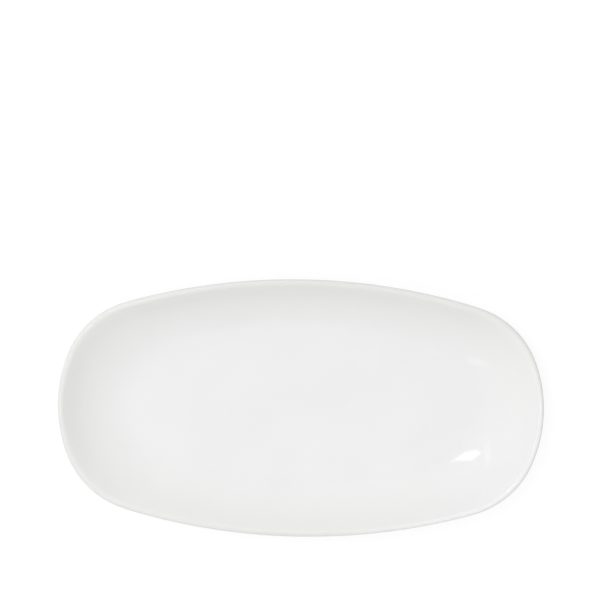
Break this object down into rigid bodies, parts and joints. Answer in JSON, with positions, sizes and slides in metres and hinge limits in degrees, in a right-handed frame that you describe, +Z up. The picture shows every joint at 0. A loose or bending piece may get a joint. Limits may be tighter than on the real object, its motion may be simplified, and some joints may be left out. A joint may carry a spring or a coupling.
{
  "type": "serving plate",
  "caption": "Oblong serving plate in white glazed porcelain, with bowed sides, a flat well, curved walls, a full-round lip and a bare foot ring.",
  "frame": {"origin": "on the plane that the plate stands on, under the middle of the plate", "axes": "+X along the plate's length, +Y across it, +Z up out of the dish"},
  "size_m": [0.34, 0.182, 0.027],
  "materials": {
    "bisque": "bare fired porcelain, matt and very slightly rough, seen only on the lower band of the foot ring",
    "glaze": "clear gloss glaze over white porcelain, plain and undecorated"
  },
  "bodies": {
    "root": {"porcelain_body": "bisque", "glaze_coat": "glaze", "base_glaze": "glaze"}
  },
  "joints": []
}
